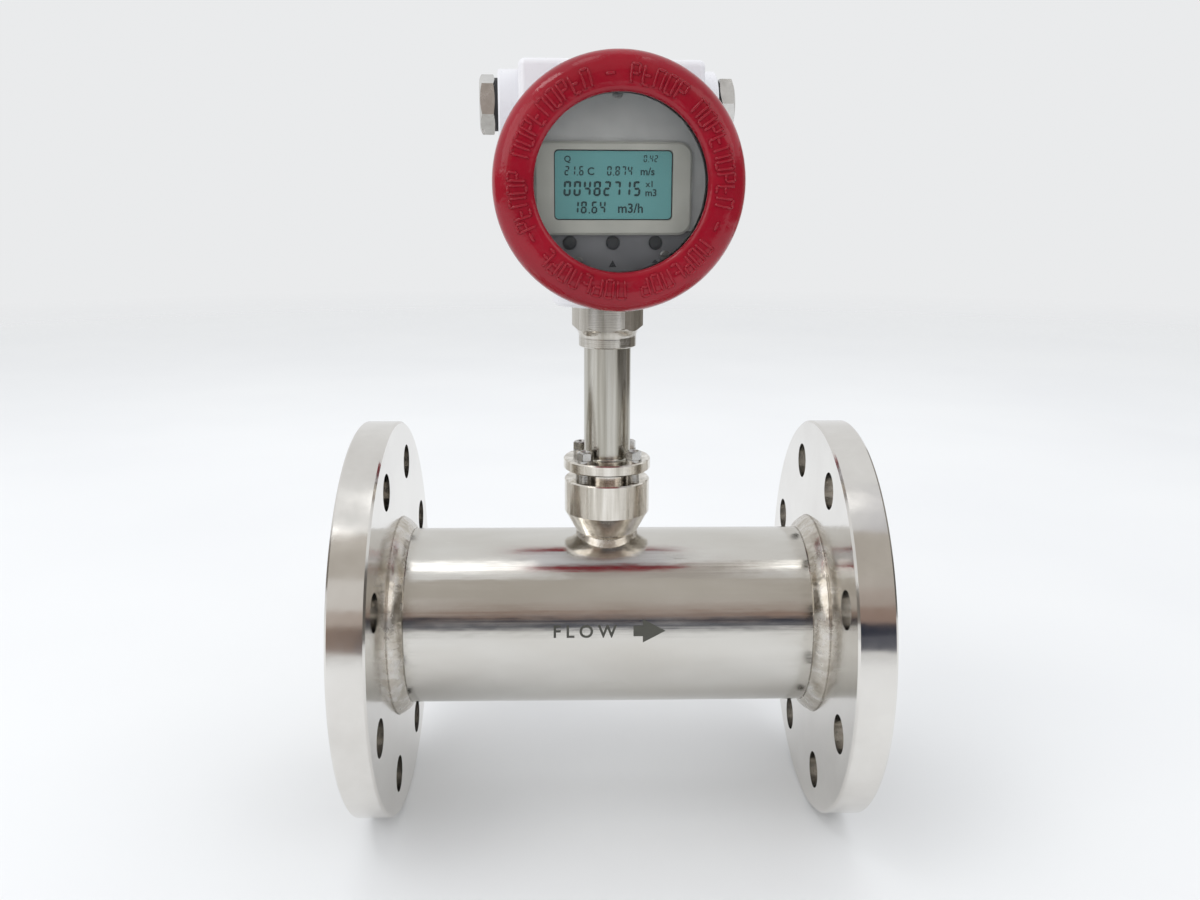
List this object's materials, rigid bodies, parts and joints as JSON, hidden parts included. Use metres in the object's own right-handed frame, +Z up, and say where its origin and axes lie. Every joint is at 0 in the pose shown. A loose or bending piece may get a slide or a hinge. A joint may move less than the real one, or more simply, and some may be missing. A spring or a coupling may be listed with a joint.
{
  "type": "turbine flow meter",
  "caption": "Flanged in-line turbine flow meter: stainless pipe section with bladed rotor, stem, and swivelling white display head with red screw-on covers.",
  "frame": {"origin": "centre of the base, on the floor plane under the stem, midway between the flanges", "axes": "+X along the flow towards the outlet flange, -Y out of the front of the meter, +Z up the stem to the display head"},
  "size_m": [0.25, 0.2, 0.3707],
  "materials": {
    "polished_stainless": "mirror-polished stainless steel",
    "stainless": "turned stainless steel",
    "weld_steel": "rippled weld bead",
    "bolt_steel": "plain bright fasteners",
    "rotor_steel": "satin magnetic stainless steel",
    "carbide": "ground tungsten carbide",
    "housing_paint": "gloss white powder coat on die-cast aluminium",
    "cover_paint": "gloss deep red powder coat on die-cast aluminium",
    "window_glass": "clear toughened glass",
    "seal_rubber": "black nitrile rubber",
    "nickel_plug": "bright nickel plate",
    "retainer_metal": "dark anodised aluminium",
    "panel_print": "silver-grey printed plastic",
    "bezel_plastic": "warm grey moulded plastic",
    "screen": "teal liquid-crystal screen",
    "button_rubber": "dark grey rubber",
    "circuit_board": "green solder mask",
    "chip_plastic": "black moulded packages",
    "brass": "bright brass",
    "terminal_plastic": "green moulded nylon",
    "bobbin_plastic": "natural nylon",
    "copper_winding": "enamelled copper wire",
    "magnet": "nickel-plated magnet",
    "lead_jacket": "grey-black cable jacket"
  },
  "bodies": {
    "meter_body": {"flow_tube": "polished_stainless", "inlet_flange": "polished_stainless", "outlet_flange": "polished_stainless", "inlet_flange_welds": "weld_steel", "outlet_flange_welds": "weld_steel", "inlet_guide": "stainless", "outlet_guide": "stainless", "inlet_nose_cone": "stainless", "outlet_tail_cone": "stainless", "shaft_bushes": "carbide", "thrust_pads": "carbide", "guide_circlips": "bolt_steel", "sensor_boss": "stainless", "boss_weld": "weld_steel", "stem_plate": "stainless", "stem_bolts": "bolt_steel", "stem_spring_washers": "bolt_steel", "stem_tube": "polished_stainless", "hex_adapter": "stainless", "pickup_can": "stainless", "pickup_seal": "seal_rubber", "pickup_pole": "rotor_steel", "pickup_bobbin": "bobbin_plastic", "pickup_winding": "copper_winding", "pickup_magnet": "magnet", "signal_lead": "lead_jacket"},
    "rotor": {"turbine_rotor": "rotor_steel", "rotor_shaft": "carbide"},
    "head": {"head_housing": "housing_paint", "head_lock_screw": "bolt_steel", "earth_screw": "bolt_steel", "earth_washer": "bolt_steel", "face_panel": "panel_print", "screen_bezel": "bezel_plastic", "lcd_screen": "screen", "display_board": "circuit_board", "main_board": "circuit_board", "main_board_chips": "chip_plastic", "tactile_switches": "chip_plastic", "board_posts": "brass", "panel_screws": "bolt_steel", "board_lead": "lead_jacket", "terminal_board": "circuit_board", "terminal_block": "terminal_plastic", "terminal_screws": "bolt_steel", "front_cover_seal": "seal_rubber", "rear_cover_seal": "seal_rubber"},
    "front_window": {"window_glass": "window_glass", "window_gasket": "seal_rubber", "window_retainer": "retainer_metal"},
    "front_cover_ring": {"front_cover": "cover_paint"},
    "rear_cover_travel": {"rear_cover_slip_ring": "retainer_metal"},
    "rear_cover_ring": {"rear_cover": "cover_paint"},
    "left_gasket": {"left_plug_gasket": "seal_rubber"},
    "left_plug": {"left_port_plug": "nickel_plug"},
    "right_gasket": {"right_plug_gasket": "seal_rubber"},
    "right_plug": {"right_port_plug": "nickel_plug"},
    "left_button": {"left_button": "button_rubber"},
    "middle_button": {"middle_button": "button_rubber"},
    "right_button": {"right_button": "button_rubber"}
  },
  "joints": [
    {"name": "rotor_spin", "type": "hinge", "parent": "meter_body", "child": "rotor", "pos_m": [0, 0, 0.1], "axis": [1, 0, 0], "continuous": true},
    {"name": "head_swivel", "type": "hinge", "parent": "meter_body", "child": "head", "pos_m": [0, 0, 0.26], "axis": [0, 0, 1], "range_deg": [-175, 175]},
    {"name": "front_cover_travel", "type": "slide", "parent": "head", "child": "front_window", "axis": [0.0698, -0.9976, 0], "range_m": [0, 0.01202]},
    {"name": "front_cover_turn", "type": "hinge", "parent": "front_window", "child": "front_cover_ring", "pos_m": [0, 0, 0.3162], "axis": [0.0698, -0.9976, 0], "range_deg": [0, 2880]},
    {"name": "rear_cover_travel", "type": "slide", "parent": "head", "child": "rear_cover_travel", "axis": [-0.0698, 0.9976, 0], "range_m": [0, 0.01202]},
    {"name": "rear_cover_turn", "type": "hinge", "parent": "rear_cover_travel", "child": "rear_cover_ring", "pos_m": [0, 0, 0.3162], "axis": [-0.0698, 0.9976, 0], "range_deg": [0, 2880]},
    {"name": "left_plug_travel", "type": "slide", "parent": "head", "child": "left_gasket", "axis": [-0.9976, -0.0698, 0], "range_m": [0, 0.01052]},
    {"name": "left_plug_turn", "type": "hinge", "parent": "left_gasket", "child": "left_plug", "pos_m": [-0.0007, 0.00998, 0.3528], "axis": [-0.9976, -0.0698, 0], "range_deg": [0, 2520]},
    {"name": "right_plug_travel", "type": "slide", "parent": "head", "child": "right_gasket", "axis": [0.9976, 0.0698, 0], "range_m": [0, 0.01052]},
    {"name": "right_plug_turn", "type": "hinge", "parent": "right_gasket", "child": "right_plug", "pos_m": [-0.0007, 0.00998, 0.3528], "axis": [0.9976, 0.0698, 0], "range_deg": [0, 2520]},
    {"name": "left_button_press", "type": "slide", "parent": "head", "child": "left_button", "axis": [-0.0698, 0.9976, 0], "range_m": [0, 0.001], "stiffness_N_per_m": 1500, "springref_m": -0.0003},
    {"name": "middle_button_press", "type": "slide", "parent": "head", "child": "middle_button", "axis": [-0.0698, 0.9976, 0], "range_m": [0, 0.001], "stiffness_N_per_m": 1500, "springref_m": -0.0003},
    {"name": "right_button_press", "type": "slide", "parent": "head", "child": "right_button", "axis": [-0.0698, 0.9976, 0], "range_m": [0, 0.001], "stiffness_N_per_m": 1500, "springref_m": -0.0003}
  ],
  "couplings": [
    {"joint": "front_cover_travel", "follows": "front_cover_turn", "m_per_rad": 0.00023873},
    {"joint": "rear_cover_travel", "follows": "rear_cover_turn", "m_per_rad": 0.00023873},
    {"joint": "left_plug_travel", "follows": "left_plug_turn", "m_per_rad": 0.00023873},
    {"joint": "right_plug_travel", "follows": "right_plug_turn", "m_per_rad": 0.00023873}
  ]
}
